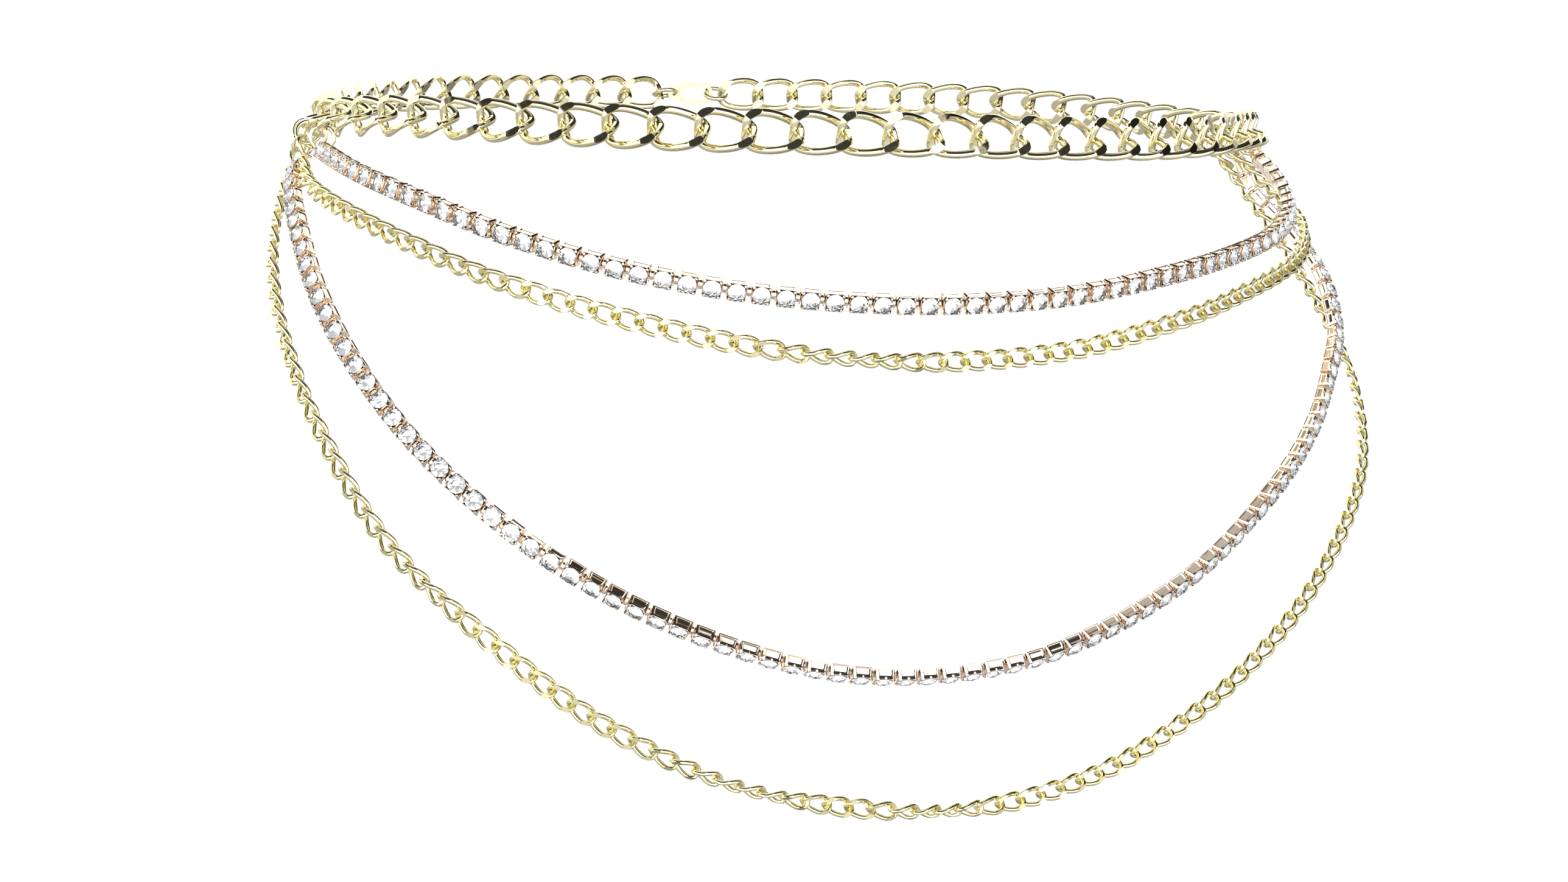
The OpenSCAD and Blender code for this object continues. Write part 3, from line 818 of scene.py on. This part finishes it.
FLOOR_Z = -0.25
FLOOR_R = 9.0
FLOOR_SIDES = 64


def make_floor():
    """A round pale floor below the chain, which the metal doesn't mirror."""
    corners = np.arange(FLOOR_SIDES)
    points = level_ring(FLOOR_R, 2 * np.pi * corners / FLOOR_SIDES, FLOOR_Z)
    floor = make_piece("floor", points, [corners[None]], [floor_paint()])
    floor.visible_glossy = False
    floor.visible_transmission = False


def ramp(tree, value, stops):
    """Greys along a value from -1 to 1: each stop is a value and a brightness."""
    node = tree.nodes.new("ShaderNodeValToRGB")
    elements = node.color_ramp.elements
    while len(elements) < len(stops):
        elements.new(0.5)
    for element, (place, grey) in zip(elements, stops):
        element.position = (place + 1) / 2
        element.color = (grey, grey, grey, 1)
    half = arithmetic(tree, "MULTIPLY", value, 0.5)
    tree.links.new(arithmetic(tree, "ADD", half, 0.5), node.inputs["Fac"])
    return node.outputs["Color"]


def arithmetic(tree, operation, first, second):
    """One step of arithmetic on two values, each a number or a socket."""
    node = tree.nodes.new("ShaderNodeMath")
    node.operation = operation
    for socket, value in zip(node.inputs, (first, second)):
        if isinstance(value, (int, float)):
            socket.default_value = value
        else:
            tree.links.new(value, socket)
    return node.outputs[0]


# Studio that the metal and the stones mirror. The first number of each pair is a part x, y or z
# of the direction looked in, from -1 to 1, and the second a height or a brightness.
# Height z of the dark ceiling's edge, by x
CEILING_EDGE = [(-1.0, 0.52), (-0.7, 0.48), (-0.45, 0.37), (-0.25, 0.30), (-0.05, 0.32),
                (0.16, 0.44), (0.26, 0.50), (0.33, 0.67), (0.38, 0.67), (0.42, 0.50), (0.53, 0.34),
                (0.75, 0.26), (1.0, 0.14)]
# How much higher the edge is toward the back, by y less the slant's share of the size of x
CEILING_RISE = [(-1.0, 0.0), (0.28, 0.15), (0.42, 0.62)]
RISE_SLANT = 0.4
# Brightness across the edge by the height above it, and of the grey patch straight overhead by z
CEILING = [(-0.02, 1.0), (0.03, 0.02)]
OVERHEAD = [(0.92, 0.0), (0.965, 0.26)]
# Duller left and right ends by x, and greyer floor by z
SIDES = [(-0.95, 0.85), (-0.5, 1.0), (0.68, 1.0), (0.92, 0.30)]
BELOW = [(-0.95, 0.14), (-0.8, 0.30), (-0.32, 0.36), (-0.12, 1.0)]
# Brightness from the front and from the back, the extra light that comes through the stones, and
# the plain light on matt surfaces and behind the chain
FRONT_LIGHT, BACK_LIGHT = 2.5, 1.15
STONE_LIGHT = 0.6
PLAIN_LIGHT = 1.07


def studio_light(tree, x, y, z):
    """Brightness of the mirrored studio in the direction x, y, z: the ceiling, times the sides
    and the floor, times a light that falls evenly from front to back."""
    aside = arithmetic(tree, "MULTIPLY", arithmetic(tree, "ABSOLUTE", x, 0), RISE_SLANT)
    behind = arithmetic(tree, "SUBTRACT", y, aside)
    above = arithmetic(tree, "SUBTRACT", z, ramp(tree, x, CEILING_EDGE))
    above = arithmetic(tree, "SUBTRACT", above, ramp(tree, behind, CEILING_RISE))
    ceiling = arithmetic(tree, "ADD", ramp(tree, above, CEILING), ramp(tree, z, OVERHEAD))
    room = arithmetic(tree, "MULTIPLY", ramp(tree, x, SIDES), ramp(tree, z, BELOW))
    front = arithmetic(tree, "MULTIPLY", y, (BACK_LIGHT - FRONT_LIGHT) / 2)
    front = arithmetic(tree, "ADD", front, (BACK_LIGHT + FRONT_LIGHT) / 2)
    return arithmetic(tree, "MULTIPLY", arithmetic(tree, "MULTIPLY", ceiling, room), front)


def make_light():
    """Plain white light all round, and for the reflections a white studio, lit most from the
    front, with a dark ceiling whose edge is higher at the back, a grey patch overhead, duller
    ends and a greyer floor."""
    world = bpy.data.worlds.new("studio")
    bpy.context.scene.world = world
    world.use_nodes = True
    tree = world.node_tree
    background = tree.nodes["Background"]
    place = tree.nodes.new("ShaderNodeTexCoord")
    axes = tree.nodes.new("ShaderNodeSeparateXYZ")
    tree.links.new(place.outputs["Generated"], axes.inputs["Vector"])
    rays = tree.nodes.new("ShaderNodeLightPath")
    seen, matt, through = (rays.outputs[f"Is {kind} Ray"]
                           for kind in ("Camera", "Diffuse", "Transmission"))
    lit = arithmetic(tree, "ADD", studio_light(tree, *(axes.outputs[k] for k in "XYZ")),
                     arithmetic(tree, "MULTIPLY", through, STONE_LIGHT))
    plain = arithmetic(tree, "MAXIMUM", seen, matt)
    mix = tree.nodes.new("ShaderNodeMix")
    tree.links.new(plain, mix.inputs["Factor"])
    tree.links.new(lit, mix.inputs["A"])
    mix.inputs["B"].default_value = PLAIN_LIGHT
    tree.links.new(mix.outputs["Result"], background.inputs["Color"])


# Camera: its place, how far it looks to the right and down and how far it leans, in degrees, and
# its lens and film width in millimetres
CAMERA_AT = (-0.1820, -0.5738, 0.029)
CAMERA_ANGLE, CAMERA_DOWN, CAMERA_LEAN = 17.6, 10.45, -1.75
CAMERA_LENS, FILM_WIDTH = 55.9, 36


def make_camera():
    """The photograph's view: level with the waist, a little from the left, looking down."""
    a, p, r = (math.radians(v) for v in (CAMERA_ANGLE, CAMERA_DOWN, CAMERA_LEAN))
    right = np.array([math.cos(a), -math.sin(a), 0])
    away = np.array([math.sin(a), math.cos(a), 0])
    up = np.array([0, 0, 1.0])
    forward = away * math.cos(p) - up * math.sin(p)
    above = away * math.sin(p) + up * math.cos(p)
    image_right = math.cos(r) * right - math.sin(r) * above
    image_up = math.sin(r) * right + math.cos(r) * above
    data = bpy.data.cameras.new("camera")
    data.lens = CAMERA_LENS
    data.sensor_width = FILM_WIDTH
    camera = bpy.data.objects.new("camera", data)
    bpy.context.scene.collection.objects.link(camera)
    turn = Matrix([[image_right[k], image_up[k], -forward[k]] for k in range(3)]).to_4x4()
    camera.matrix_world = Matrix.Translation(CAMERA_AT) @ turn
    bpy.context.scene.camera = camera


def dress_solids(names, material):
    """The rings and the clasp keep their own shapes and take a plated finish."""
    for name in names:
        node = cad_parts[name]
        node.data.materials.clear()
        node.data.materials.append(material)


CHAMPAGNE = plated_metal("champagne plate", bright=(0.95, 0.88, 0.62), deep=(0.90, 0.82, 0.50),
                         polish=(0.05, 0.12), waviness=0.00001)
PALE_GOLD = plated_metal("pale gold plate", bright=(0.96, 0.89, 0.58), deep=(0.91, 0.83, 0.46),
                         polish=(0.05, 0.13), waviness=0.000008)
PEACH = plated_metal("peach plate", bright=(0.99, 0.87, 0.74), deep=(0.96, 0.79, 0.64),
                     polish=(0.05, 0.12), waviness=0.000006)
SATIN = plated_metal("satin champagne plate", bright=(0.93, 0.85, 0.58), deep=(0.86, 0.77, 0.48),
                     polish=(0.30, 0.40), waviness=0.000004)
STONE_MATERIALS = [stone_glass(), stone_foil()]

big_chain(seed=5, material=CHAMPAGNE)
stone_chain("upper_stone_chain", ("upper_stone_chain_cups", "upper_stone_chain_stones"),
            UPPER_STONE_ROUTE, swag=0, rolls=None, seed=11, metal=PEACH,
            stone_materials=STONE_MATERIALS)
small_chain("upper_curb_chain_links", "upper_curb_chain", UPPER_CURB_ROUTE, swag=1,
            rolls=UPPER_CURB_ROLL, seed=21, material=PALE_GOLD)
stone_chain("lower_stone_chain", ("lower_stone_chain",), LOWER_STONE_ROUTE, swag=2,
            rolls=LOWER_STONE_ROLL, seed=31, metal=PEACH, stone_materials=STONE_MATERIALS)
small_chain("lowest_curb_chain_links", "lowest_curb_chain", LOWEST_CURB_ROUTE, swag=3,
            rolls=LOWEST_CURB_ROLL, seed=41, material=PALE_GOLD)
dress_solids(("left_jump_rings", "right_jump_rings", "clasp_rings"), CHAMPAGNE)
dress_solids(("clasp",), SATIN)
make_floor()
make_light()
make_camera()
bpy.context.scene.view_settings.view_transform = "Standard"
